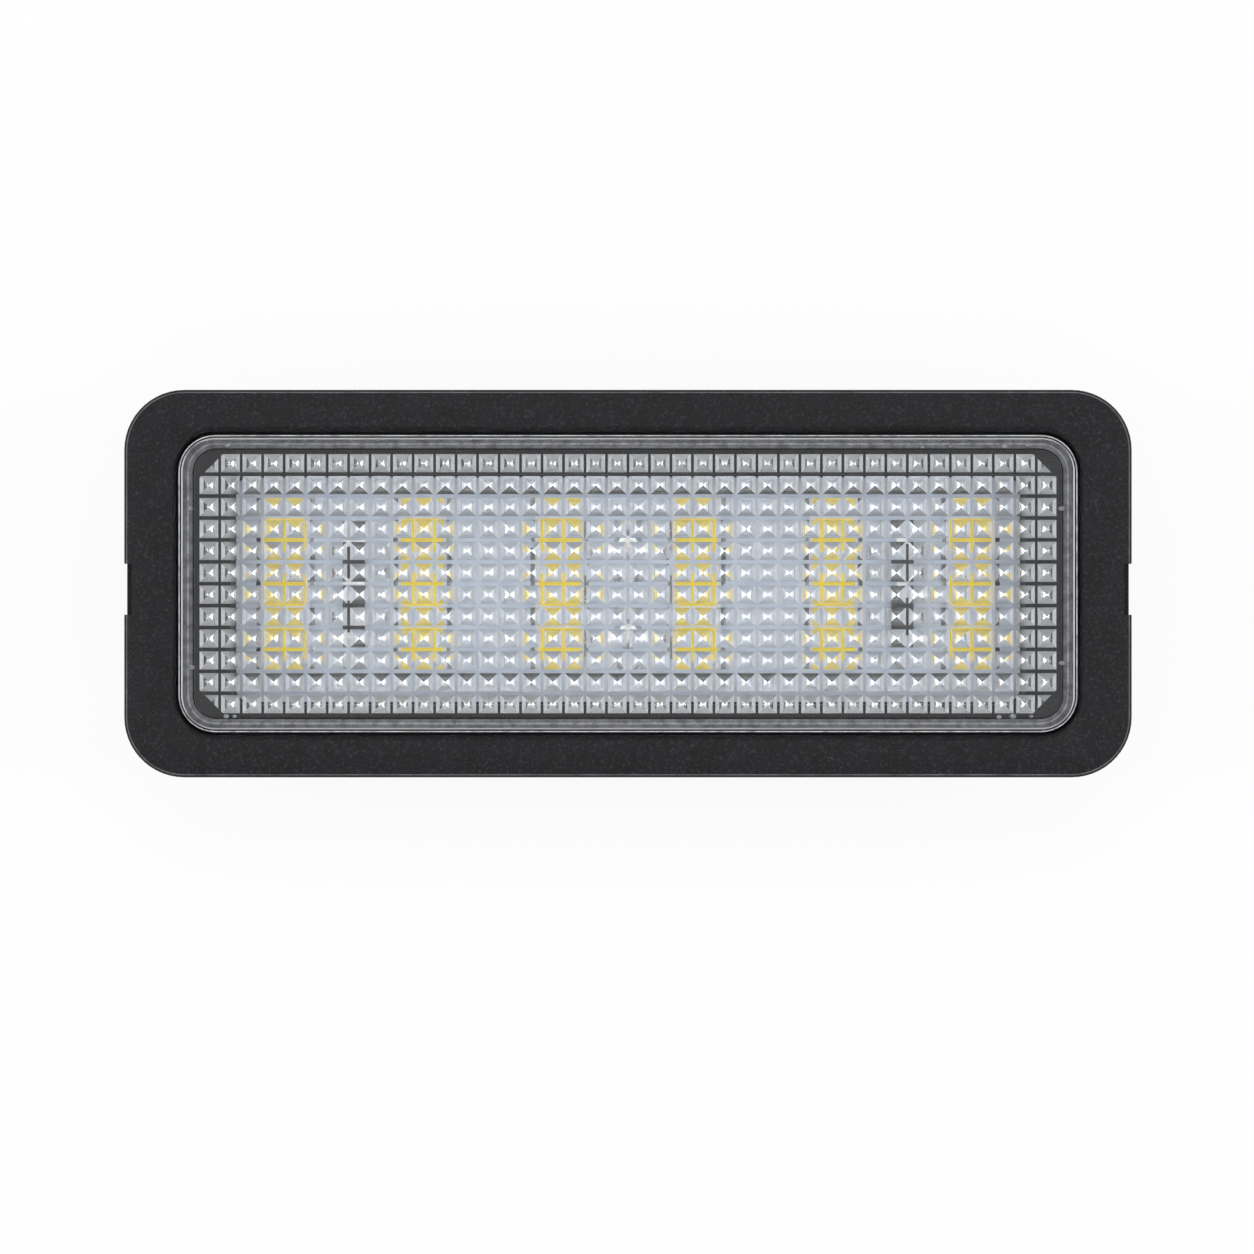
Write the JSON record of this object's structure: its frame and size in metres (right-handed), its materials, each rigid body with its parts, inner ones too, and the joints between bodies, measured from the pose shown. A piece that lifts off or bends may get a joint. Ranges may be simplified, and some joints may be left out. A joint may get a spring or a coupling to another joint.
{
  "type": "dome light",
  "caption": "Rectangular LED interior lamp with a black snap-in bezel, clear pyramid lens, LED board, spring clip and rear connector socket.",
  "frame": {"origin": "centre of the lamp's outline in the plane of the back rim that it rests on", "axes": "+Z out through the lens, +X along the length towards the spring clip, +Y across the width"},
  "size_m": [0.072, 0.0276, 0.016],
  "materials": {
    "black_plastic": "satin, finely grained",
    "clear_plastic": "clear, polished",
    "white_board": "white solder mask",
    "white_case": "satin",
    "phosphor": "satin",
    "chip_ceramic": "satin",
    "chip_plastic": "satin",
    "tinned_brass": "tin plated",
    "solder": "bright",
    "spring_steel": "satin"
  },
  "bodies": {
    "root": {"housing": "black_plastic", "lens": "clear_plastic", "circuit_board": "white_board", "led_case_1": "white_case", "led_case_2": "white_case", "led_case_3": "white_case", "led_case_4": "white_case", "led_case_5": "white_case", "led_case_6": "white_case", "led_case_7": "white_case", "led_case_8": "white_case", "led_case_9": "white_case", "led_case_10": "white_case", "led_case_11": "white_case", "led_case_12": "white_case", "led_case_13": "white_case", "led_case_14": "white_case", "led_case_15": "white_case", "led_case_16": "white_case", "led_case_17": "white_case", "led_case_18": "white_case", "led_phosphor_1": "phosphor", "led_phosphor_2": "phosphor", "led_phosphor_3": "phosphor", "led_phosphor_4": "phosphor", "led_phosphor_5": "phosphor", "led_phosphor_6": "phosphor", "led_phosphor_7": "phosphor", "led_phosphor_8": "phosphor", "led_phosphor_9": "phosphor", "led_phosphor_10": "phosphor", "led_phosphor_11": "phosphor", "led_phosphor_12": "phosphor", "led_phosphor_13": "phosphor", "led_phosphor_14": "phosphor", "led_phosphor_15": "phosphor", "led_phosphor_16": "phosphor", "led_phosphor_17": "phosphor", "led_phosphor_18": "phosphor", "resistor_1": "chip_ceramic", "resistor_2": "chip_ceramic", "diode_1": "chip_plastic", "diode_2": "chip_plastic", "terminal_1": "tinned_brass", "terminal_2": "tinned_brass", "solder_joint_1": "solder", "solder_joint_2": "solder", "spring_clip": "spring_steel"}
  },
  "joints": []
}
